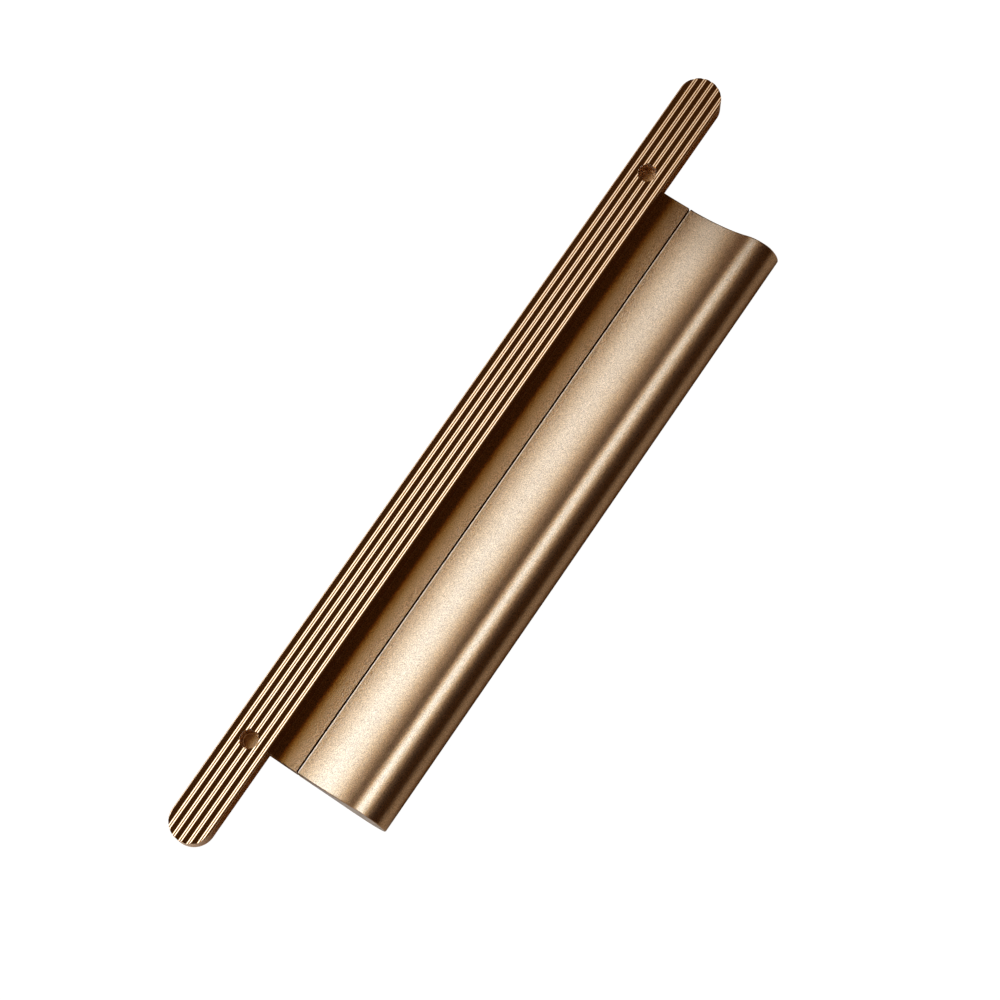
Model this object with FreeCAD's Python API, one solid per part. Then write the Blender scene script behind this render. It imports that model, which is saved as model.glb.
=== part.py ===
import FreeCAD, Part
import math
import os

# Handleless finger pull profile in satin bronze aluminium.
# Millimetres, +Z up, the pull lies on its flat underside with the fluted bar facing up.
# X runs along the pull, the grip lies towards -Y, and the origin is the centre of its footprint.

# Overall sizes
BAR_LENGTH = 300.0
BAR_WIDTH = 14.4
BAR_HEIGHT = 8.0
LIP_LENGTH = 223.5
FOOT_HEIGHT = 6.0
FOOT_BACK = 3.3
SEAM_REACH = 16.5
GRIP_REACH = 51.2

# Rounded flutes along the top of the bar
FLUTE_COUNT = 5
FLUTE_PITCH = 2.66
FLUTE_SLOPE = 47.0

# Blind screw holes in the two ears of the bar, each with a shallow step in its floor
HOLE_SPACING = 224.0
HOLE_COUNT = 2
HOLE_MOUTH = 6.0
HOLE_MOUTH_DEPTH = 4.8
HOLE_RIM = 0.3
STEP_BORE = 4.7
STEP_DEPTH = 0.8
STEP_RIM = 0.15

# Upper surface, walked from the bar to the nose as tangent arcs; the scoop's radius fills the free reach
SEAM_SLOPE = 4.0
SCOOP_SLOPE = 25.0
HEEL_SLOPE = 41.0
HEEL_RADIUS = 31.0
CREST_END_SLOPE = -8.0
CREST_RADIUS = 9.3
SHOULDER_END_SLOPE = -45.0
SHOULDER_RADIUS = 4.0
NOSE_END_SLOPE = -90.0
NOSE_RADIUS = 9.3
NOSE_UNDERCUT = 15.0

# Tongue joint between the foot of the bar and the grip
TONGUE_DEPTH = 3.0
TONGUE_THICKNESS = 2.0
TONGUE_LEVEL = 2.8
TONGUE_END_GAP = 0.2

# Eased edges
BAR_EDGE = 0.3
SEAM_EDGE = 0.35
FOOT_FILLET = 0.4
END_EDGE = 0.3
GRIP_END_EDGE = 0.5

# Derived positions
BAR_AXIS_Y = (GRIP_REACH - BAR_WIDTH / 2) / 2
BAR_TOP = FOOT_HEIGHT + BAR_HEIGHT
FLUTE_MARGIN = (BAR_WIDTH - FLUTE_COUNT * FLUTE_PITCH) / 2
FLUTE_RADIUS = FLUTE_PITCH / (4 * math.sin(math.radians(FLUTE_SLOPE)))
GRIP_BENDS = ((HEEL_SLOPE, HEEL_RADIUS), (CREST_END_SLOPE, CREST_RADIUS),
              (SHOULDER_END_SLOPE, SHOULDER_RADIUS), (NOSE_END_SLOPE, NOSE_RADIUS))
TONGUE_BOTTOM = TONGUE_LEVEL - TONGUE_THICKNESS / 2
TONGUE_TOP = TONGUE_LEVEL + TONGUE_THICKNESS / 2


def at(reach, height, x=0.0):
    """Point of the section: reach from the bar's centre line towards the grip, and height."""
    return FreeCAD.Vector(x, BAR_AXIS_Y - reach, height)


class SectionPen:
    """Draws a section as tangent lines and arcs, in the plane of reach and height."""

    def __init__(self, reach, height, heading):
        self.reach = reach
        self.height = height
        self.heading = math.radians(heading)
        self.edges = []

    def add(self, edge, reach, height):
        self.edges.append(edge)
        self.reach = reach
        self.height = height

    def line_to(self, reach, height):
        edge = Part.makeLine(at(self.reach, self.height), at(reach, height))
        self.add(edge, reach, height)

    def forward(self, length):
        reach = self.reach + length * math.cos(self.heading)
        height = self.height + length * math.sin(self.heading)
        self.line_to(reach, height)

    def bend_to(self, heading, radius):
        """Tangent arc to a new heading, counter-clockwise when the heading grows."""
        start = self.heading
        end = math.radians(heading)
        side = math.copysign(radius, end - start)
        centre_reach = self.reach - side * math.sin(start)
        centre_height = self.height + side * math.cos(start)

        def on_arc(angle):
            return (centre_reach + side * math.sin(angle), centre_height - side * math.cos(angle))

        middle = on_arc((start + end) / 2)
        last = on_arc(end)
        arc = Part.Arc(at(self.reach, self.height), at(*middle), at(*last)).toShape()
        self.heading = end
        self.add(arc, *last)

    def closed_face(self, reach, height):
        self.line_to(reach, height)
        return Part.Face(Part.Wire(self.edges))


def extrude_along_x(face, length):
    body = face.extrude(FreeCAD.Vector(length, 0, 0))
    body.translate(FreeCAD.Vector(-length / 2, 0, 0))
    return body


def stadium(length, width, bottom, top):
    """Upright prism with fully rounded ends."""
    radius = width / 2
    half = length / 2 - radius
    corners = [at(radius, bottom, -half), at(radius, bottom, half), at(-radius, bottom, half),
               at(-radius, bottom, -half)]
    sides = [Part.makeLine(corners[0], corners[1]), Part.makeLine(corners[2], corners[3])]
    ends = [Part.Arc(corners[1], at(0, bottom, half + radius), corners[2]).toShape(),
            Part.Arc(corners[3], at(0, bottom, -half - radius), corners[0]).toShape()]
    outline = Part.Wire([sides[0], ends[0], sides[1], ends[1]])
    return Part.Face(outline).extrude(FreeCAD.Vector(0, 0, top - bottom))


def edges_where(body, test):
    return [edge for edge in body.Edges if test(edge.BoundBox)]


def end_rim(body, reach):
    """Edges in the two end planes, apart from those on the upright seam faces."""
    seam_plane = BAR_AXIS_Y - reach

    def in_end_plane(box):
        flat = box.XLength < END_EDGE / 10 and abs(abs(box.XMax) - LIP_LENGTH / 2) < END_EDGE / 10
        upright = box.YLength < END_EDGE / 10
        beyond = box.YMin < seam_plane - TONGUE_DEPTH - END_EDGE / 10
        rounding = box.YLength > END_EDGE / 10 and box.ZMax > FOOT_HEIGHT - END_EDGE / 10
        return flat and not upright and (beyond or rounding)

    return edges_where(body, in_end_plane)


def fluted_section():
    """Section of the bar: flat seat, upright sides, and flutes that flow into one another as a wave."""
    side = BAR_WIDTH / 2
    pen = SectionPen(-side, BAR_TOP, 0.0)
    pen.forward(FLUTE_MARGIN)
    for _ in range(FLUTE_COUNT):
        pen.bend_to(-FLUTE_SLOPE, FLUTE_RADIUS)
        pen.bend_to(FLUTE_SLOPE, FLUTE_RADIUS)
        pen.bend_to(0.0, FLUTE_RADIUS)
    pen.line_to(side, BAR_TOP)
    pen.line_to(side, FOOT_HEIGHT)
    pen.line_to(-side, FOOT_HEIGHT)
    return pen.closed_face(-side, BAR_TOP)


def fluted_bar():
    """The fluted section, cut to a bar with fully rounded ends and an eased upper edge."""
    outline = stadium(BAR_LENGTH, BAR_WIDTH, FOOT_HEIGHT, BAR_TOP)
    upper_edge = edges_where(outline, lambda box: box.ZMin > BAR_TOP - BAR_EDGE)
    outline = outline.makeFillet(BAR_EDGE, upper_edge)
    return extrude_along_x(fluted_section(), BAR_LENGTH).common(outline)


def foot_top():
    """Pen walked along the top of the foot: level under the bar, rising to the eased edge at the seam."""
    pen = SectionPen(FOOT_BACK, FOOT_HEIGHT, 0.0)
    pen.line_to(BAR_WIDTH / 2, FOOT_HEIGHT)
    slope = math.sin(math.radians(SEAM_SLOPE))
    free_reach = SEAM_REACH - BAR_WIDTH / 2 - SEAM_EDGE * (1 + slope)
    pen.bend_to(SEAM_SLOPE, free_reach / slope)
    pen.bend_to(-90.0, SEAM_EDGE)
    return pen


def foot():
    """Lower part of the mounting bar: a plate that starts under the bar and ends at the seam."""
    pen = foot_top()
    pen.line_to(SEAM_REACH, TONGUE_TOP)
    pen.line_to(SEAM_REACH + TONGUE_DEPTH - TONGUE_END_GAP, TONGUE_TOP)
    pen.line_to(SEAM_REACH + TONGUE_DEPTH - TONGUE_END_GAP, TONGUE_BOTTOM)
    pen.line_to(SEAM_REACH, TONGUE_BOTTOM)
    pen.line_to(SEAM_REACH, 0.0)
    pen.line_to(FOOT_BACK, 0.0)
    return extrude_along_x(pen.closed_face(FOOT_BACK, FOOT_HEIGHT), LIP_LENGTH)


def sunk_cylinder(centre, top, diameter, depth, rim):
    """Cylinder that goes down from a level, with a small cone that eases its upper rim."""
    up = FreeCAD.Vector(0, 0, 1)
    wall = Part.makeCylinder(diameter / 2, depth, centre + up * (top - depth), up)
    cone = Part.makeCone(diameter / 2, diameter / 2 + rim, rim, centre + up * (top - rim), up)
    return wall.fuse(cone)


def screw_hole(x):
    """Blind hole: a wide mouth, and a narrower shallow step in its floor."""
    centre = at(0, 0, x)
    mouth = sunk_cylinder(centre, BAR_TOP, HOLE_MOUTH, HOLE_MOUTH_DEPTH, HOLE_RIM)
    step = sunk_cylinder(centre, BAR_TOP - HOLE_MOUTH_DEPTH, STEP_BORE, STEP_DEPTH, STEP_RIM)
    return mouth.fuse(step)


def mounting_bar():
    body = fluted_bar().fuse(foot()).removeSplitter()
    front = BAR_AXIS_Y - BAR_WIDTH / 2

    def is_inner_corner(box):
        along = box.XLength > LIP_LENGTH / 2
        on_wall = abs(box.YMin - front) < END_EDGE / 10 and abs(box.YMax - front) < END_EDGE / 10
        return along and on_wall and abs(box.ZMax - FOOT_HEIGHT) < END_EDGE / 10

    corner = [edge for edge in edges_where(body, is_inner_corner)
              if edge.BoundBox.XLength < LIP_LENGTH + END_EDGE]
    body = body.makeFillet(FOOT_FILLET, corner)
    first = -HOLE_SPACING * (HOLE_COUNT - 1) / 2
    for index in range(HOLE_COUNT):
        body = body.cut(screw_hole(first + HOLE_SPACING * index))
    return body


def scoop_radius(start):
    """Radius that lets the scoop fill the reach between its start and the bends after it."""
    free_reach = GRIP_REACH - start
    slope = SCOOP_SLOPE
    for next_slope, radius in GRIP_BENDS:
        free_reach -= radius * abs(math.sin(math.radians(slope)) - math.sin(math.radians(next_slope)))
        slope = next_slope
    return free_reach / (math.sin(math.radians(SCOOP_SLOPE)) - math.sin(math.radians(SEAM_SLOPE)))


def grip_profile():
    """Finger grip: scooped top, round crest and nose, and a nose undercut that meets the flat base."""
    seam_height = foot_top().height
    pen = SectionPen(SEAM_REACH, seam_height, 90.0)
    pen.bend_to(SEAM_SLOPE, SEAM_EDGE)
    pen.bend_to(SCOOP_SLOPE, scoop_radius(pen.reach))
    for slope, radius in GRIP_BENDS:
        pen.bend_to(slope, radius)
    nose = at(pen.reach, pen.height)
    centre = at(GRIP_REACH - NOSE_UNDERCUT, pen.height)
    base = at(GRIP_REACH - NOSE_UNDERCUT, 0.0)
    if NOSE_UNDERCUT > pen.height:
        oval = Part.Ellipse(nose, base, centre)
    else:
        oval = Part.Ellipse(base, nose, centre)
    first = oval.parameter(nose)
    last = oval.parameter(base)
    undercut = oval.toShape(min(first, last), max(first, last))
    pen.add(undercut, GRIP_REACH - NOSE_UNDERCUT, 0.0)
    pen.line_to(SEAM_REACH, 0.0)
    pen.line_to(SEAM_REACH, TONGUE_BOTTOM)
    pen.line_to(SEAM_REACH + TONGUE_DEPTH, TONGUE_BOTTOM)
    pen.line_to(SEAM_REACH + TONGUE_DEPTH, TONGUE_TOP)
    pen.line_to(SEAM_REACH, TONGUE_TOP)
    body = extrude_along_x(pen.closed_face(SEAM_REACH, seam_height), LIP_LENGTH)
    return body.makeFillet(GRIP_END_EDGE, end_rim(body, SEAM_REACH))


def main():
    os.makedirs("parts", exist_ok=True)
    pieces = {"mounting_bar": mounting_bar(), "grip_profile": grip_profile()}
    for name, shape in pieces.items():
        box = shape.BoundBox
        print(name, "valid", shape.isValid(), "solids", len(shape.Solids),
              "volume", round(shape.Volume, 1),
              "box", [round(value, 2) for value in (box.XMin, box.XMax, box.YMin, box.YMax,
                                                     box.ZMin, box.ZMax)])
        shape.exportStep("parts/" + name + ".step")


main()
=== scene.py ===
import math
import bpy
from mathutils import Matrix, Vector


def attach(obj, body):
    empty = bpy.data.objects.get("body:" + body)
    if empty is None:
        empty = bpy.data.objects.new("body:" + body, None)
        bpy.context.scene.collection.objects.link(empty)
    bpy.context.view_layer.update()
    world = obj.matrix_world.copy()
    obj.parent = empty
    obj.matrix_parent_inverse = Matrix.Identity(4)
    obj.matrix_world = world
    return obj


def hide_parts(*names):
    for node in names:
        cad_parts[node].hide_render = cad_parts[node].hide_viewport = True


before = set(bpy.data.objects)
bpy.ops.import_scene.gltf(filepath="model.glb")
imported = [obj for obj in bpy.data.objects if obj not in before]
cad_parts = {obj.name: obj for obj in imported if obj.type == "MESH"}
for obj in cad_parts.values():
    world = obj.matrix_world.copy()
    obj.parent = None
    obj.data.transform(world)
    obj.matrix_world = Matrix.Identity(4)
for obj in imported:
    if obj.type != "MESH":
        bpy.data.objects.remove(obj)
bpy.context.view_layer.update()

# %% [markdown]
# # A finger pull in satin bronze
#
# The object is a handleless finger pull: a long fluted bar with two blind screw holes, and a
# scooped grip that meets it along a fine seam. Both are aluminium, pressed through a die as long
# stock, cut, bead blasted and anodised in a warm bronze. Both shapes therefore follow a rule, a
# section that runs straight along the pull, and that rule is what this lesson builds: once as a
# wave of flutes inside a rounded outline, and once as a walk of tangent arcs. The CAD solids give
# the true sizes. The scene's pieces repeat them with finer steps, so that satin metal mirrors its
# lamp without facets.

MILLIMETRE = 0.001
for name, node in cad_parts.items():
    print(name, "faces in the CAD mesh", len(node.data.polygons))

# %% [markdown]
# ## Node trees as Python
#
# Shapes and finishes are both node trees, and node links are hard to read. One small class wraps
# a socket, so that sums and products can be written as sums and products. A second one wraps a
# tree and adds any node with its settings and its inputs in one call. Both are used for the
# shapes, the finishes, the world and the lamp.

# %% A socket that can be added and multiplied
class Wire:
    def __init__(self, tree, socket):
        self.tree = tree
        self.socket = socket

    def __add__(self, other):
        return self.tree.maths("ADD", self, other)

    def __radd__(self, other):
        return self.tree.maths("ADD", other, self)

    def __sub__(self, other):
        return self.tree.maths("SUBTRACT", self, other)

    def __rsub__(self, other):
        return self.tree.maths("SUBTRACT", other, self)

    def __mul__(self, other):
        return self.tree.maths("MULTIPLY", self, other)

    def __rmul__(self, other):
        return self.tree.maths("MULTIPLY", other, self)

    def __truediv__(self, other):
        return self.tree.maths("DIVIDE", self, other)

    def __rtruediv__(self, other):
        return self.tree.maths("DIVIDE", other, self)

    def __neg__(self):
        return self.tree.maths("MULTIPLY", self, -1.0)


print("a wire adds, subtracts, multiplies and divides, on either side")

# %% A tree that adds any node
class Tree:
    def __init__(self, nodes):
        self.nodes = nodes
        self.nodes.nodes.clear()

    def feed(self, socket, value):
        if isinstance(value, Wire):
            self.nodes.links.new(value.socket, socket)
        elif isinstance(value, list):
            for one in value:
                self.feed(socket, one)
        else:
            socket.default_value = value

    def node(self, kind, settings=None, inputs=None, output=0):
        """Adds any node: its settings first, then the values or links of its sockets."""
        made = self.nodes.nodes.new(kind)
        for key, value in (settings or {}).items():
            setattr(made, key, value)
        for key, value in (inputs or {}).items():
            self.feed(made.inputs[key], value)
        return Wire(self, made.outputs[output]) if made.outputs else None

    def maths(self, operation, first, second=0.0, clamp=False):
        settings = {"operation": operation, "use_clamp": clamp}
        return self.node("ShaderNodeMath", settings, {0: first, 1: second})

    def parts(self, vector):
        return [self.node("ShaderNodeSeparateXYZ", {}, {0: vector}, output=axis) for axis in "XYZ"]

    def vector(self, x=0.0, y=0.0, z=0.0):
        return self.node("ShaderNodeCombineXYZ", {}, {"X": x, "Y": y, "Z": z})

    def mix(self, factor, first, second):
        settings = {"data_type": "RGBA"}
        return self.node("ShaderNodeMix", settings, {0: factor, 6: first, 7: second}, output=2)


def finish_tree(name):
    material = bpy.data.materials.new(name)
    material.use_nodes = True
    return material, Tree(material.node_tree)


def shape_tree(name, sizes):
    """A Geometry Nodes tree with one named input for each size, all in millimetres or degrees."""
    group = bpy.data.node_groups.new(name, "GeometryNodeTree")
    group.interface.new_socket("Geometry", in_out="OUTPUT", socket_type="NodeSocketGeometry")
    for label, value in sizes.items():
        kind = "NodeSocketInt" if isinstance(value, int) else "NodeSocketFloat"
        group.interface.new_socket(label, in_out="INPUT", socket_type=kind)
    tree = Tree(group)
    entry = tree.nodes.nodes.new("NodeGroupInput")
    return tree, {label: Wire(tree, entry.outputs[label]) for label in sizes}


print("trees ready for shapes and finishes")

# %% [markdown]
# ## Sizes
#
# All sizes are in millimetres and degrees. The bar's axis lies 22 mm behind the middle of the
# pull. The flutes are bends of one radius that turn down, up and level again, so their radius
# follows from their pitch and slope, and five of them fill the bar apart from a narrow margin.
# A reach is measured from the bar's axis towards the grip, and a slope is the heading at which a
# bend ends. The scoop is the grip's free part: its radius fills the reach that the other bends
# leave, so it starts at zero here and is worked out last.

# %% Sizes of the bar
BAR_AXIS_Y = 22.0
BAR = {
    "Bar Length": 300.0,
    "Bar Width": 14.4,
    "Seat Level": 6.0,
    "Top Level": 14.0,
    "Flute Count": 5,
    "Flute Pitch": 2.66,
    "Flute Slope": 47.0,
    "Rim Ease": 0.3,
    "Rows": 241,
    "Columns": 61,
    "Hole Count": 2,
    "Hole Spacing": 224.0,
    "Hole Radius": 3.0,
    "Hole Depth": 4.8,
    "Hole Rim": 0.3,
    "Step Radius": 2.35,
    "Step Depth": 0.8,
    "Step Rim": 0.15,
}
FLUTE_RADIUS = BAR["Flute Pitch"] / (4 * math.sin(math.radians(BAR["Flute Slope"])))
print("flute radius", round(FLUTE_RADIUS, 3), "margin beside the flutes",
      round((BAR["Bar Width"] - BAR["Flute Count"] * BAR["Flute Pitch"]) / 2, 2))

# %% Sizes of the foot
LIP_LENGTH = 223.5
SEAM_REACH = 16.95
TONGUE = {"Tongue Bottom": 1.8, "Tongue Top": 3.8, "Tongue Depth": 3.0}
TONGUE_GAP = 0.2
FOOT_CLIMB_RADIUS = 128.0
FOOT_CORNER = 0.4
FOOT_EDGE = 0.1
OVERLAP = 0.004
bar_side = BAR["Bar Width"] / 2
climb_reach = SEAM_REACH - FOOT_EDGE - bar_side - FOOT_CORNER
foot_slope = math.degrees(math.asin(climb_reach / FOOT_CLIMB_RADIUS))
FOOT = {
    "Length": LIP_LENGTH,
    "Start Reach": bar_side - OVERLAP,
    "Start Height": BAR["Seat Level"] + FOOT_CORNER,
    "Start Heading": -90.0,
    "Corner Slope": 0.0,
    "Corner Radius": FOOT_CORNER,
    "Climb Slope": foot_slope,
    "Climb Radius": FOOT_CLIMB_RADIUS,
    "Edge Slope": -90.0,
    "Edge Radius": FOOT_EDGE,
    "Back Reach": 3.3,
    "End Ease": 0.2,
    "Steps": 120,
}
seam_height = BAR["Seat Level"] + FOOT_CLIMB_RADIUS * (1 - math.cos(math.radians(foot_slope)))
print("foot climbs to", round(foot_slope, 2), "degrees and", round(seam_height, 2), "mm")

# %% Sizes of the grip
GRIP_REACH = 51.15
SEAM_GAP = 0.44
SEAM_RISE = 0.09
GRIP = {
    "Length": LIP_LENGTH,
    "Start Reach": SEAM_REACH + SEAM_GAP,
    "Start Height": seam_height - SEAM_RISE,
    "Start Heading": 90.0,
    "Edge Slope": 22.0,
    "Edge Radius": 0.08,
    "Seam Slope": 4.8,
    "Seam Radius": 1.3,
    "Scoop Slope": 25.0,
    "Scoop Radius": 0.0,
    "Heel Slope": 41.0,
    "Heel Radius": 31.0,
    "Crest Slope": -8.0,
    "Crest Radius": 9.3,
    "Shoulder Slope": -45.0,
    "Shoulder Radius": 4.0,
    "Nose Slope": -90.0,
    "Nose Radius": 9.3,
    "Nose Undercut": 15.0,
    "Blend": 1.6,
    "End Ease": 0.5,
    "Steps": 560,
}


def reach_of(first, last, radius):
    return radius * abs(math.sin(math.radians(last)) - math.sin(math.radians(first)))


EDGE_BENDS = ["Edge", "Seam"]
GRIP_BENDS = ["Scoop", "Heel", "Crest", "Shoulder", "Nose"]
taken = 0.0
heading = GRIP["Start Heading"]
for bend in EDGE_BENDS + GRIP_BENDS:
    taken += reach_of(heading, GRIP[bend + " Slope"], GRIP[bend + " Radius"])
    heading = GRIP[bend + " Slope"]
free_reach = GRIP_REACH - GRIP["Start Reach"] - taken
GRIP["Scoop Radius"] = free_reach / reach_of(GRIP["Seam Slope"], GRIP["Scoop Slope"], 1.0)
MOUNTING_BAR = {**BAR, **FOOT, **TONGUE}
GRIP_PIECE = {**GRIP, **TONGUE}
print("scoop radius", round(GRIP["Scoop Radius"], 2))

# %% [markdown]
# ## The fluted bar as a rule
#
# On the real bar the flutes come out of the die, and the rounded ends and the holes are milled
# afterwards. The tree follows the same order. A flat grid is bent to the outline: its rows run
# along the bar at one distance from its axis, and each row ends where the rounded end cuts it.
# Rows and columns crowd towards the rim, where the eased edge needs them. Then one height rule
# lifts every point: the wave of the flutes or the eased rim, whichever is lower. So no flute is
# drawn by hand, and their number, pitch and slope stay inputs of the tree.

# %% The outline and the height rule
bar_tree, size = shape_tree("fluted_bar", MOUNTING_BAR)
grid = bar_tree.node("GeometryNodeMeshGrid", {}, {
    "Size X": 2.0, "Size Y": 2.0, "Vertices X": size["Columns"], "Vertices Y": size["Rows"]})
along, across, _ = bar_tree.parts(bar_tree.node("GeometryNodeInputPosition"))
end_radius = size["Bar Width"] / 2.0
straight = size["Bar Length"] / 2.0 - end_radius
angle = across * (math.pi / 2)
row = end_radius * bar_tree.maths("SINE", angle)
row_end = straight + end_radius * bar_tree.maths("COSINE", angle)
inset = row_end * bar_tree.maths("POWER", 1.0 - bar_tree.maths("ABSOLUTE", along), 3.0)
column = bar_tree.maths("SIGN", along) * (row_end - inset)
plan = bar_tree.node("GeometryNodeSetPosition", {}, {
    "Geometry": grid, "Position": bar_tree.vector(column, row, 0.0)})

x, y, _ = bar_tree.parts(bar_tree.node("GeometryNodeInputPosition"))
past_straight = bar_tree.maths("MAXIMUM", bar_tree.maths("ABSOLUTE", x) - straight, 0.0)
from_axis = bar_tree.maths("SQRT", past_straight * past_straight + y * y)
to_rim = end_radius - from_axis


def rounding(radius, offset):
    """How far a circle of this radius has dropped at this offset from its highest point."""
    square = bar_tree.maths("MAXIMUM", radius * radius - offset * offset, 0.0)
    return radius - bar_tree.maths("SQRT", square)


rim_offset = bar_tree.maths("MAXIMUM", size["Rim Ease"] - to_rim, 0.0)
rim_drop = rounding(size["Rim Ease"], bar_tree.maths("MINIMUM", rim_offset, size["Rim Ease"]))

slope = bar_tree.maths("RADIANS", size["Flute Slope"])
flute_radius = size["Flute Pitch"] / (4.0 * bar_tree.maths("SINE", slope))
flute_depth = 2.0 * flute_radius * (1.0 - bar_tree.maths("COSINE", slope))
field_half = size["Flute Count"] * size["Flute Pitch"] / 2.0
inside = bar_tree.maths("MINIMUM", bar_tree.maths("MAXIMUM", y, -field_half), field_half)
half_pitch = size["Flute Pitch"] / 2.0
to_crest = bar_tree.maths("PINGPONG", inside + field_half, half_pitch)
to_nearest = bar_tree.maths("MINIMUM", to_crest, half_pitch - to_crest)
side = bar_tree.maths("SIGN", half_pitch / 2.0 - to_crest)
wave_drop = flute_depth / 2.0 - side * (flute_depth / 2.0 - rounding(flute_radius, to_nearest))
height = size["Top Level"] - bar_tree.maths("MAXIMUM", wave_drop, rim_drop)
skin = bar_tree.node("GeometryNodeSetPosition", {}, {
    "Geometry": plan, "Position": bar_tree.vector(x, y, height)})
print("nodes for the skin", len(bar_tree.nodes.nodes))

# %% [markdown]
# The sides are the skin's border drawn straight down to the level of the seat, and the seat is
# one flat face filled into the lower border. Together they close the bar to a solid.

# %% Sides and seat
WELD_DISTANCE = 0.0005
faces_beside = bar_tree.node("GeometryNodeInputMeshEdgeNeighbors")
border = bar_tree.maths("LESS_THAN", faces_beside, 1.5)
extrude = bar_tree.node("GeometryNodeExtrudeMesh", {"mode": "EDGES"}, {
    "Mesh": skin, "Selection": border,
    "Offset": bar_tree.vector(0.0, 0.0, -1.0), "Offset Scale": 1.0})
lower_border = Wire(bar_tree, extrude.socket.node.outputs["Top"])
low_x, low_y, _ = bar_tree.parts(bar_tree.node("GeometryNodeInputPosition"))
walls = bar_tree.node("GeometryNodeSetPosition", {}, {
    "Geometry": extrude, "Selection": lower_border,
    "Position": bar_tree.vector(low_x, low_y, size["Seat Level"])})
loop = bar_tree.node("GeometryNodeMeshToCurve", {}, {"Mesh": walls, "Selection": lower_border})
flat_loop = bar_tree.node("GeometryNodeTransform", {}, {
    "Geometry": loop, "Translation": bar_tree.vector(0.0, 0.0, -size["Seat Level"])})
filled = bar_tree.node("GeometryNodeFillCurve", {"mode": "NGONS"}, {"Curve": flat_loop})
seat = bar_tree.node("GeometryNodeTransform", {}, {
    "Geometry": bar_tree.node("GeometryNodeFlipFaces", {}, {"Mesh": filled}),
    "Translation": bar_tree.vector(0.0, 0.0, size["Seat Level"])})
closed = bar_tree.node("GeometryNodeJoinGeometry", {}, {"Geometry": [walls, seat]})
solid_bar = bar_tree.node("GeometryNodeMergeByDistance", {}, {
    "Geometry": closed, "Distance": WELD_DISTANCE})
print("the bar is closed to a solid")

# %% [markdown]
# A screw hole is turned: a blind mouth with an eased rim, and a narrower shallow step in its
# floor. The cutter is a short upright line whose points each carry a radius, taken in turn from a
# list by an Index Switch. A circle swept along the line gives the turned shape. It is set on one
# point for each hole, so the holes repeat by count and spacing.

# %% Screw holes
STATION_GAP = 0.002
CUTTER_SIDES = 64


def stations(tree, index, rows):
    """A field that takes one vector from the rows for each index."""
    made = tree.node("GeometryNodeIndexSwitch", {"data_type": "VECTOR"})
    switch = made.socket.node
    for _ in range(len(rows) - len(switch.index_switch_items)):
        switch.index_switch_items.new()
    tree.feed(switch.inputs["Index"], index)
    for number, entry in enumerate(rows):
        tree.feed(switch.inputs[str(number)], tree.vector(*entry))
    return made


mouth_floor = size["Top Level"] - size["Hole Depth"]
turned = [
    (size["Step Radius"], 0.0, mouth_floor - size["Step Depth"]),
    (size["Step Radius"], 0.0, mouth_floor - size["Step Rim"]),
    (size["Step Radius"] + size["Step Rim"], 0.0, mouth_floor - STATION_GAP),
    (size["Hole Radius"], 0.0, mouth_floor),
    (size["Hole Radius"], 0.0, size["Top Level"] - size["Hole Rim"]),
    (size["Hole Radius"] + size["Hole Rim"], 0.0, size["Top Level"]),
    (size["Hole Radius"] + size["Hole Rim"] * 2.0, 0.0, size["Top Level"] + size["Hole Rim"]),
]
station = bar_tree.node("GeometryNodeInputIndex")
radius, _, level = bar_tree.parts(stations(bar_tree, station, turned))
spine = bar_tree.node("GeometryNodeMeshLine", {"mode": "OFFSET"}, {"Count": len(turned)})
spine = bar_tree.node("GeometryNodeSetPosition", {}, {
    "Geometry": spine, "Position": bar_tree.vector(0.0, 0.0, level)})
spine = bar_tree.node("GeometryNodeMeshToCurve", {}, {"Mesh": spine})
ring = bar_tree.node("GeometryNodeCurvePrimitiveCircle", {}, {
    "Resolution": CUTTER_SIDES, "Radius": 1.0})
cutter = bar_tree.node("GeometryNodeCurveToMesh", {}, {
    "Curve": spine, "Profile Curve": ring, "Scale": radius, "Fill Caps": True})
first_hole = size["Hole Spacing"] * (size["Hole Count"] - 1.0) / -2.0
places = bar_tree.node("GeometryNodeMeshLine", {"mode": "OFFSET"}, {
    "Count": size["Hole Count"], "Start Location": bar_tree.vector(first_hole, 0.0, 0.0),
    "Offset": bar_tree.vector(size["Hole Spacing"], 0.0, 0.0)})
cutters = bar_tree.node("GeometryNodeInstanceOnPoints", {}, {"Points": places, "Instance": cutter})
cutters = bar_tree.node("GeometryNodeRealizeInstances", {}, {"Geometry": cutters})
drilled = bar_tree.node("GeometryNodeMeshBoolean", {"operation": "DIFFERENCE", "solver": "EXACT"}, {
    "Mesh 1": solid_bar, "Mesh 2": cutters})
placed = bar_tree.node("GeometryNodeTransform", {}, {
    "Geometry": drilled, "Translation": (0.0, BAR_AXIS_Y, 0.0)})
print("holes are turned from", len(turned), "stations")

# %% [markdown]
# ## A section as a walk of tangent arcs
#
# The foot and the grip are one kind of shape: a section that is pressed along X. Its upper side
# is a walk. It starts at a point with a heading, and every bend turns the heading at an even rate
# until the next slope, like a wheel held at one angle. Adding up the short steps gives the
# points, so neighbouring arcs are tangent without any fitting. On the grip the turning rate
# itself is averaged over a short stretch, as a polished die does, and the satin highlight then
# fades without a line where one arc ends. Corners of the hidden joint follow as plain points.

# %% The walk
BLEND_PLACES = (-0.5, -0.25, 0.0, 0.25, 0.5)


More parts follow.
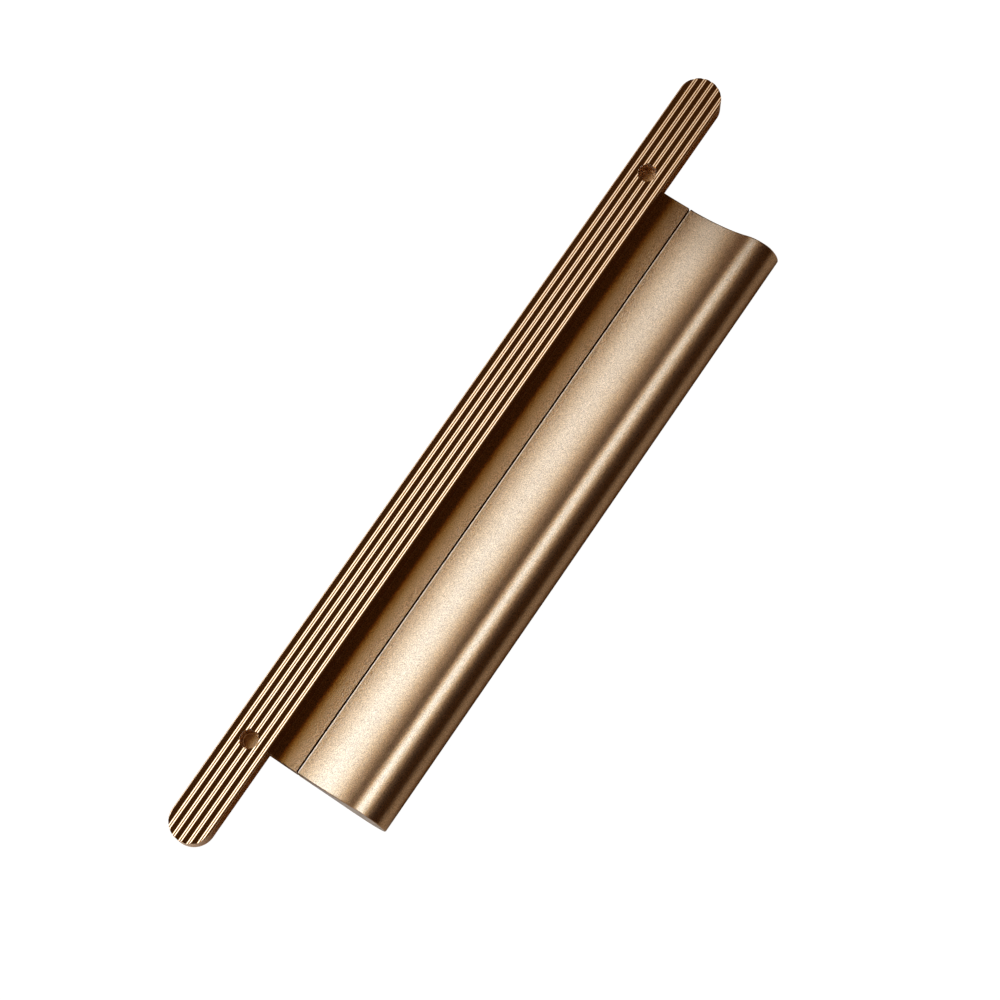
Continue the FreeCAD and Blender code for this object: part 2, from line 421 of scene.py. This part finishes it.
def walk(tree, size, sharp, soft):
    """Fields of reach, height and heading for a line's points, from sharp and blended bends."""
    index = tree.node("GeometryNodeInputIndex")
    spans = []
    heading = size["Start Heading"]
    start = 0.0
    for name in sharp + soft:
        turn = size[name + " Slope"] - heading
        length = size[name + " Radius"] * tree.maths("ABSOLUTE", tree.maths("RADIANS", turn))
        spans.append((name, turn, start, length))
        heading = size[name + " Slope"]
        start = start + length
    step = start / size["Steps"]

    def turned_by(names, place):
        total = 0.0
        for name, turn, begin, length in spans:
            if name in names:
                total = total + turn * tree.maths("DIVIDE", place - begin, length, clamp=True)
        return total

    def heading_at(place):
        angle = size["Start Heading"] + turned_by(sharp, place)
        if soft:
            blended = [turned_by(soft, place + offset * size["Blend"]) for offset in BLEND_PLACES]
            total = blended[0]
            for one in blended[1:]:
                total = total + one
            angle = angle + total / float(len(BLEND_PLACES))
        return tree.maths("RADIANS", angle)

    middle = heading_at((index + 0.5) * step)
    stride = tree.vector(step * tree.maths("COSINE", middle), step * tree.maths("SINE", middle))
    sum_of = {"data_type": "FLOAT_VECTOR", "domain": "POINT"}
    path = tree.node("GeometryNodeAccumulateField", sum_of, {0: stride}, output="Trailing")
    reach, height, _ = tree.parts(path)
    return reach + size["Start Reach"], height + size["Start Height"], heading_at(index * step)


def value_at(tree, field, index):
    settings = {"data_type": "FLOAT", "domain": "POINT"}
    return tree.node("GeometryNodeFieldAtIndex", settings, {"Value": field, "Index": index})


print("the turning rate is averaged over", len(BLEND_PLACES), "places")

# %% [markdown]
# The walk's end is the nose. Below it a quarter oval leads back to the flat underside, and the
# corners of the tongue joint close the section. Every point of the section also carries a
# direction called inward, and every point of the sweep an amount called ease. Their product
# draws the last stretch at either end inwards along a quarter round, which gives the eased end
# edges. Both attributes are removed again, because the finished piece has no use for them.

# %% A pressed piece
OVAL_STEPS = 40
EASE_STEPS = 8
BODY_STEPS = 6


def choose(tree, test, when_true, when_false):
    settings = {"input_type": "VECTOR"}
    return tree.node("GeometryNodeSwitch", settings, {
        "Switch": test, "True": when_true, "False": when_false})


def store(tree, geometry, kind, name, value):
    settings = {"data_type": kind, "domain": "POINT"}
    return tree.node("GeometryNodeStoreNamedAttribute", settings, {
        "Geometry": geometry, "Name": name, "Value": value})


def recall(tree, kind, name):
    return tree.node("GeometryNodeInputNamedAttribute", {"data_type": kind}, {"Name": name})


def profile(tree, size, sharp, soft, oval, corners):
    """Closed section curve, drawn in the plane of the sweep: minus Y across and minus Z down."""
    index = tree.node("GeometryNodeInputIndex")
    reach, height, heading = walk(tree, size, sharp, soft)
    point = tree.vector(reach, height)
    inward = tree.vector(tree.maths("SINE", heading), -tree.maths("COSINE", heading))
    count = size["Steps"] + 1.0
    rest = tree.vector(0.0, 0.0, 0.0)
    if oval:
        nose_reach = value_at(tree, reach, size["Steps"])
        nose_height = value_at(tree, height, size["Steps"])
        turn = (index - size["Steps"]) * (math.pi / 2 / OVAL_STEPS)
        back = tree.maths("COSINE", turn)
        down = tree.maths("SINE", turn)
        on_oval = tree.vector(nose_reach - size["Nose Undercut"] * (1.0 - back),
                              nose_height * (1.0 - down))
        steep = back / size["Nose Undercut"]
        level = down / nose_height
        longest = tree.maths("SQRT", steep * steep + level * level)
        to_oval = tree.vector(-steep / longest, level / longest)
        before = tree.maths("LESS_THAN", index, count)
        point = choose(tree, before, point, on_oval)
        inward = choose(tree, before, inward, to_oval)
        count = count + float(OVAL_STEPS)
    corner = stations(tree, index - count, corners)
    before = tree.maths("LESS_THAN", index, count - 0.5)
    point = choose(tree, before, point, corner)
    inward = choose(tree, before, inward, rest)
    reach, height, _ = tree.parts(point)
    in_reach, in_height, _ = tree.parts(inward)
    line = tree.node("GeometryNodeMeshLine", {"mode": "OFFSET"}, {
        "Count": count + float(len(corners))})
    line = store(tree, line, "FLOAT_VECTOR", "inward", tree.vector(0.0, -in_reach, in_height))
    line = tree.node("GeometryNodeSetPosition", {}, {
        "Geometry": line, "Position": tree.vector(reach - BAR_AXIS_Y, -height, 0.0)})
    curve = tree.node("GeometryNodeMeshToCurve", {}, {"Mesh": line})
    return tree.node("GeometryNodeSetSplineCyclic", {}, {"Geometry": curve, "Cyclic": True})


def pressed(tree, size, section):
    """The section swept along X, with both ends eased by a quarter round."""
    half = EASE_STEPS + BODY_STEPS
    index = tree.node("GeometryNodeInputIndex")
    from_end = tree.maths("MINIMUM", index, 2.0 * half - index)
    turn = tree.maths("DIVIDE", from_end, float(EASE_STEPS), clamp=True) * (math.pi / 2)
    rest = size["Length"] / 2.0 - size["End Ease"]
    share = tree.maths("MAXIMUM", from_end - float(EASE_STEPS), 0.0) / float(BODY_STEPS)
    inset = size["End Ease"] * (1.0 - tree.maths("COSINE", turn)) + rest * share
    x = tree.maths("SIGN", index - float(half)) * (size["Length"] / 2.0 - inset)
    line = tree.node("GeometryNodeMeshLine", {"mode": "OFFSET"}, {"Count": 2 * half + 1})
    line = store(tree, line, "FLOAT", "ease", size["End Ease"] * (1.0 - tree.maths("SINE", turn)))
    line = tree.node("GeometryNodeSetPosition", {}, {"Geometry": line, "Position": tree.vector(x)})
    rail = tree.node("GeometryNodeMeshToCurve", {}, {"Mesh": line})
    body = tree.node("GeometryNodeCurveToMesh", {}, {
        "Curve": rail, "Profile Curve": section, "Fill Caps": True})
    shift = tree.node("ShaderNodeVectorMath", {"operation": "SCALE"}, {
        0: recall(tree, "FLOAT_VECTOR", "inward"), "Scale": recall(tree, "FLOAT", "ease")})
    body = tree.node("GeometryNodeSetPosition", {}, {"Geometry": body, "Offset": shift})
    for name in ("inward", "ease"):
        body = tree.node("GeometryNodeRemoveAttribute", {}, {"Geometry": body, "Name": name})
    return body


def close(tree, geometry, material):
    """Millimetres to metres, instances made real, one material, and the tree's output."""
    geometry = tree.node("GeometryNodeTransform", {}, {
        "Geometry": geometry, "Scale": (MILLIMETRE, MILLIMETRE, MILLIMETRE)})
    geometry = tree.node("GeometryNodeRealizeInstances", {}, {"Geometry": geometry})
    geometry = tree.node("GeometryNodeSetMaterial", {}, {
        "Geometry": geometry, "Material": material})
    tree.node("NodeGroupOutput", {}, {0: geometry})


print("a pressed piece has", 2 * (EASE_STEPS + BODY_STEPS) + 1, "sections along its length")

# %% [markdown]
# ## The mounting bar
#
# The foot is the lower part of the same piece: it starts under the bar, leaves the bar's side
# with a small hollow corner, climbs gently and ends in an eased edge and a tongue. It is pressed
# from its own walk and united with the drilled bar, because the real bar and foot come out of
# the die as one.

# %% The foot and the union
foot_corners = [
    (SEAM_REACH, size["Tongue Top"], 0.0),
    (SEAM_REACH + size["Tongue Depth"] - TONGUE_GAP, size["Tongue Top"], 0.0),
    (SEAM_REACH + size["Tongue Depth"] - TONGUE_GAP, size["Tongue Bottom"], 0.0),
    (SEAM_REACH, size["Tongue Bottom"], 0.0),
    (SEAM_REACH, 0.0, 0.0),
    (size["Back Reach"], 0.0, 0.0),
    (size["Back Reach"], size["Start Height"], 0.0),
]
foot_section = profile(bar_tree, size, ["Corner", "Climb", "Edge"], [], False, foot_corners)
foot = pressed(bar_tree, size, foot_section)
united = bar_tree.node("GeometryNodeMeshBoolean", {"operation": "UNION", "solver": "EXACT"}, {
    "Mesh 2": [placed, foot]})
bar_material, bar_finish = finish_tree("satin_bronze_bar")
close(bar_tree, united, bar_material)
print("nodes for the mounting bar", len(bar_tree.nodes.nodes))

# %% [markdown]
# A tree is run once, on an empty carrier, and its result is kept as a plain mesh. The sizes are
# set by the identifiers of the tree's inputs, before the carrier is evaluated for the first time.
# The sawn ends and the flat underside are shaded flat, and all else is smooth up to a limit, so
# that long arcs mirror the lamp evenly and real edges stay edges.

# %% From tree to plain mesh
FLAT_NORMAL = 0.9999
SHARP_ANGLE = math.radians(32)


def plain_piece(name, tree, sizes):
    """Runs a shape tree once and keeps its result as a plain mesh."""
    carrier = bpy.data.objects.new(name + "_carrier", bpy.data.meshes.new(name + "_empty"))
    bpy.context.scene.collection.objects.link(carrier)
    modifier = carrier.modifiers.new("shape", "NODES")
    modifier.node_group = tree.nodes
    for item in tree.nodes.interface.items_tree:
        if item.in_out == "INPUT":
            modifier[item.identifier] = sizes[item.name]
    graph = bpy.context.evaluated_depsgraph_get()
    mesh = bpy.data.meshes.new_from_object(carrier.evaluated_get(graph), depsgraph=graph)
    mesh.name = name
    bpy.data.objects.remove(carrier)
    for face in mesh.polygons:
        flat = abs(face.normal.x) > FLAT_NORMAL or face.normal.z < -FLAT_NORMAL
        face.use_smooth = not flat
    mesh.set_sharp_from_angle(angle=SHARP_ANGLE)
    piece = bpy.data.objects.new(name, mesh)
    bpy.context.scene.collection.objects.link(piece)
    corners = [vertex.co for vertex in mesh.vertices]
    box = [[round(pick(corner[axis] for corner in corners) / MILLIMETRE, 2) for axis in range(3)]
           for pick in (min, max)]
    print(name, "faces", len(mesh.polygons), "box in mm", box)
    return piece


bar = plain_piece("fluted_mounting_bar", bar_tree, MOUNTING_BAR)

# %% [markdown]
# ## The grip
#
# The grip's walk starts in the seam, with a small corner and a broader easing that catches the
# lamp as a fine bright line, and runs over scoop, heel, crest and shoulder to the nose.

# %% The grip's mesh
grip_tree, size = shape_tree("scooped_grip", GRIP_PIECE)
grip_corners = [
    (size["Start Reach"], 0.0, 0.0),
    (size["Start Reach"], size["Tongue Bottom"], 0.0),
    (size["Start Reach"] + size["Tongue Depth"], size["Tongue Bottom"], 0.0),
    (size["Start Reach"] + size["Tongue Depth"], size["Tongue Top"], 0.0),
    (size["Start Reach"], size["Tongue Top"], 0.0),
]
grip_section = profile(grip_tree, size, EDGE_BENDS, GRIP_BENDS, True, grip_corners)
grip_material, grip_finish = finish_tree("satin_bronze_grip")
close(grip_tree, pressed(grip_tree, size, grip_section), grip_material)
grip = plain_piece("scooped_grip", grip_tree, GRIP_PIECE)

# %% [markdown]
# Both pieces ride on the one body of the pull, and each stands for its CAD solid.

# %% The pieces in the frame
for piece, node, slot in ((bar, "mounting_bar", "bar_metal"), (grip, "grip_profile", "grip_metal")):
    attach(piece, "root")
    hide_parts(node)
    print(piece.name, "stands for", node)

# %% [markdown]
# ## Satin bronze
#
# Bead blasting leaves a fine even grain that scatters light, and anodising dyes it. So the
# finish is a metal with a middling roughness, a grain of about a quarter of a millimetre, and a
# slow drift of tone that keeps long surfaces from looking computed. The grain could be bump
# alone, but grains so fine are smaller than a pixel and average out, so it speckles the colour
# between a dark and a pale bronze as well. The saw leaves the end faces of the foot and the grip
# bare and greyer.

# %% The bronze finish
BRONZE = (0.28, 0.187, 0.109, 1.0)
BRONZE_PALE = (0.78, 0.52, 0.307, 1.0)
SAWN_METAL = (0.66, 0.62, 0.62, 1.0)
GRAIN_SCALE = 3600.0
GRAIN_CONTRAST = 1.6
GRAIN_DEPTH = 0.00005
DRIFT_SCALE = 35.0
DRIFT_IN_TONE = 0.14
DRIFT_IN_ROUGHNESS = 0.04
MIDDLE_TONE = 0.5


def satin_bronze(finish, roughness, grain_share, sawn, tone):
    """Speckled bronze whose tone runs from dark, 0, to pale, 1, with bare metal where sawn."""
    place = finish.node("ShaderNodeTexCoord", output="Object")
    grain = finish.node("ShaderNodeTexNoise", {}, {
        "Vector": place, "Scale": GRAIN_SCALE, "Detail": 0.0})
    drift = finish.node("ShaderNodeTexNoise", {}, {
        "Vector": place, "Scale": DRIFT_SCALE, "Detail": 2.0}) - 0.5
    speckle = (grain - 0.5) * (GRAIN_CONTRAST * grain_share) + tone
    colour = finish.mix(speckle + drift * DRIFT_IN_TONE, BRONZE, BRONZE_PALE)
    colour = finish.mix(sawn, colour, SAWN_METAL)
    bump = finish.node("ShaderNodeBump", {}, {
        "Strength": 1.0, "Distance": GRAIN_DEPTH, "Height": grain * grain_share})
    shader = finish.node("ShaderNodeBsdfPrincipled", {}, {
        "Base Color": colour, "Metallic": 1.0, "Normal": bump,
        "Roughness": roughness + DRIFT_IN_ROUGHNESS * drift})
    finish.node("ShaderNodeOutputMaterial", {}, {"Surface": shader})


print("grains of", round(1 / GRAIN_SCALE / MILLIMETRE, 2), "mm")

# %% [markdown]
# Every mask is a place on the piece, read from its Object coordinates. On the grip only the two
# end faces differ. The mounting bar is one piece with three finishes: the foot is blasted like
# the grip, the fluted bar above it is crisper and almost without grain, and the drill leaves its
# holes rough. The bar above the foot, holes included, also gets a paler tone: a painted sheen
# that makes it mirror the lamp more brightly than the foot does.

# %% The finishes on their places
SATIN_ROUGHNESS = 0.305
CRISP_ROUGHNESS = 0.16
DRILLED_ROUGHNESS = 0.51
CRISP_GRAIN = 0.08
# Painted sheen: how much paler the bar above the foot is made, holes included, so that it mirrors
# the lamp more brightly.
BAR_PAINTED_SHEEN = 0.45
SKIN = 0.05
HOLE_SKIN = 0.02


def places_of(finish):
    """Places along and across the pull, and one on the sawn ends of the foot and the grip."""
    along, across, _ = finish.parts(finish.node("ShaderNodeTexCoord", output="Object"))
    limit = (LIP_LENGTH / 2 - SKIN) * MILLIMETRE
    return along, across, finish.maths("GREATER_THAN", finish.maths("ABSOLUTE", along), limit)


_, _, sawn = places_of(grip_finish)
satin_bronze(grip_finish, SATIN_ROUGHNESS, 1.0, sawn, MIDDLE_TONE)

along, across, sawn = places_of(bar_finish)
bar_front = (BAR_AXIS_Y - BAR["Bar Width"] / 2 - SKIN) * MILLIMETRE
on_bar = bar_finish.maths("GREATER_THAN", across, bar_front)
past_hole = bar_finish.maths("ABSOLUTE", along) - BAR["Hole Spacing"] / 2 * MILLIMETRE
beside_hole = across - BAR_AXIS_Y * MILLIMETRE
from_hole = bar_finish.maths("SQRT", past_hole * past_hole + beside_hole * beside_hole)
hole_limit = (BAR["Hole Radius"] + HOLE_SKIN) * MILLIMETRE
drilled = bar_finish.maths("LESS_THAN", from_hole, hole_limit)
crisp = on_bar * (1.0 - drilled)
bar_roughness = (SATIN_ROUGHNESS - crisp * (SATIN_ROUGHNESS - CRISP_ROUGHNESS)
                 + drilled * (DRILLED_ROUGHNESS - SATIN_ROUGHNESS))
# The bar's raised tone is a painted sheen on its flutes and holes. Its roughness and grain are real
# finish.
satin_bronze(bar_finish, bar_roughness, 1.0 - crisp * (1.0 - CRISP_GRAIN),
             sawn * (1.0 - on_bar), MIDDLE_TONE + on_bar * BAR_PAINTED_SHEEN)
print("finishes", bar_material.name, grip_material.name)

# %% [markdown]
# ## Camera
#
# The photograph looks down on the pull from its lower end and from the grip's side. Where the
# camera stands follows from how much the far end shrinks and how far the holes' floors shift.
# Almost a metre away, a long lens keeps that shrinking small. The camera's turn is written as
# its right and its up direction, and the third follows from them, because Euler angles would
# hide what they mean.

# %% Camera
SENSOR_WIDTH = 36.0
FOCAL_LENGTH = 105.65
NEAREST = 0.05
CAMERA_PLACE = Vector((-0.1740487, -0.1477614, 0.9153691))
RIGHT = Vector((0.5621697, -0.8264675, -0.0302768))
UP = Vector((0.8068054, 0.5400147, 0.2396855))
camera_data = bpy.data.cameras.new("camera")
camera_data.sensor_width = SENSOR_WIDTH
camera_data.lens = FOCAL_LENGTH
camera_data.clip_start = NEAREST
camera = bpy.data.objects.new("camera", camera_data)
bpy.context.scene.collection.objects.link(camera)
turn = Matrix((RIGHT, UP, RIGHT.cross(UP))).transposed().to_4x4()
camera.matrix_world = Matrix.Translation(CAMERA_PLACE) @ turn
bpy.context.scene.camera = camera
print("camera", round(CAMERA_PLACE.length, 3), "m from the middle of the pull")

# %% [markdown]
# ## Floor and world
#
# The ground is plain white. Metal shows what surrounds it, and this metal has to show a dark
# room, or the flutes lose their dark lines. So the floor and the world are white to the camera
# alone, which the Light Path node tells apart. To the metal the floor is a warm matt surface
# and the world a dim warm glow. A share of the matt floor stays in what the camera sees.

# %% Floor
FLOOR_SIZE = 6.0
WARM_MATT = (0.9, 0.68, 0.46, 1.0)
WHITE = (1.0, 1.0, 1.0, 1.0)
GLOW = 1.18
GLOW_SHARE = 0.85
bpy.ops.mesh.primitive_plane_add(size=FLOOR_SIZE, location=(0, 0, 0))
floor = bpy.context.object
floor.name = "floor"
floor_material, floor_finish = finish_tree("pale_floor")
seen = floor_finish.node("ShaderNodeLightPath", output="Is Camera Ray")
matt = floor_finish.node("ShaderNodeBsdfDiffuse", {}, {"Color": WARM_MATT})
glow = floor_finish.node("ShaderNodeEmission", {}, {"Color": WHITE, "Strength": GLOW})
both = floor_finish.node("ShaderNodeMixShader", {}, {0: seen * GLOW_SHARE, 1: matt, 2: glow})
floor_finish.node("ShaderNodeOutputMaterial", {}, {"Surface": both})
floor.data.materials.append(floor_material)
print("floor", FLOOR_SIZE, "m wide")

# %% World
DIM_ROOM = (0.05, 0.022, 0.007, 1.0)
world = bpy.data.worlds.new("studio")
bpy.context.scene.world = world
world.use_nodes = True
studio = Tree(world.node_tree)
seen = studio.node("ShaderNodeLightPath", output="Is Camera Ray")
room = studio.mix(seen, DIM_ROOM, WHITE)
air = studio.node("ShaderNodeBackground", {}, {"Color": room, "Strength": 1.0})
studio.node("ShaderNodeOutputWorld", {}, {"Surface": air})
print("world", world.name)

# %% [markdown]
# ## Soft box
#
# One long soft box stands behind the pull and leans over it. Satin metal mirrors it as the
# bright bands on the scoop, the crest and the flutes, and a band fades where the box does. So
# the box's own light falls off from its middle to its edges, gently along its length and more
# steeply across it. Each colour has its own fall: blue fades first and red last, which makes
# the bands cream in the middle and a deep bronze at their edges, as dyed metal looks in a
# photograph with strong contrast.

# %% The light across the box
BOX_LEAN = math.radians(44.9)
BOX_DISTANCE = 0.9
BOX_CENTRE = -0.5
BOX_LENGTH = 2.12
BOX_WIDTH = 0.94
CHANNELS = {
    "Red": {"strength": 2.76, "along": 0.54, "across": 0.68},
    "Green": {"strength": 4.2, "along": 0.66, "across": 1.62},
    "Blue": {"strength": 7.35, "along": 0.8, "across": 4.0},
}
lamp_data = bpy.data.lights.new("soft_box", "AREA")
lamp_data.shape = "RECTANGLE"
lamp_data.size = BOX_LENGTH
lamp_data.size_y = BOX_WIDTH
lamp_data.energy = math.pi * BOX_LENGTH * BOX_WIDTH
lamp_data.use_nodes = True
panel = Tree(lamp_data.node_tree)
along, across, _ = panel.parts(panel.node("ShaderNodeNewGeometry", output="Parametric"))


def fall_off(place, power):
    """One in the middle of the box and nothing at its edge."""
    offset = 2.0 * (place - 0.5)
    return panel.maths("POWER", 1.0 - offset * offset, power)


channels = {}
for name, fall in CHANNELS.items():
    lengthwise = fall["strength"] * fall_off(along, fall["along"])
    channels[name] = lengthwise * fall_off(across, fall["across"])
colour = panel.node("ShaderNodeCombineColor", {}, channels)
light = panel.node("ShaderNodeEmission", {}, {"Color": colour, "Strength": 1.0})
panel.node("ShaderNodeOutputLight", {}, {"Surface": light})
print("soft box", BOX_LENGTH, "by", BOX_WIDTH, "m")

# %% The box's place
lamp = bpy.data.objects.new("soft_box", lamp_data)
lamp.location = (BOX_CENTRE, BOX_DISTANCE * math.sin(BOX_LEAN), BOX_DISTANCE * math.cos(BOX_LEAN))
lamp.rotation_euler = (-BOX_LEAN, 0.0, 0.0)
bpy.context.scene.collection.objects.link(lamp)
print("soft box at", [round(value, 2) for value in lamp.location])

# %% [markdown]
# ## Colours
#
# The Standard view shows colours as they are written.

# %% View
bpy.context.scene.view_settings.view_transform = "Standard"
print("view", bpy.context.scene.view_settings.view_transform)
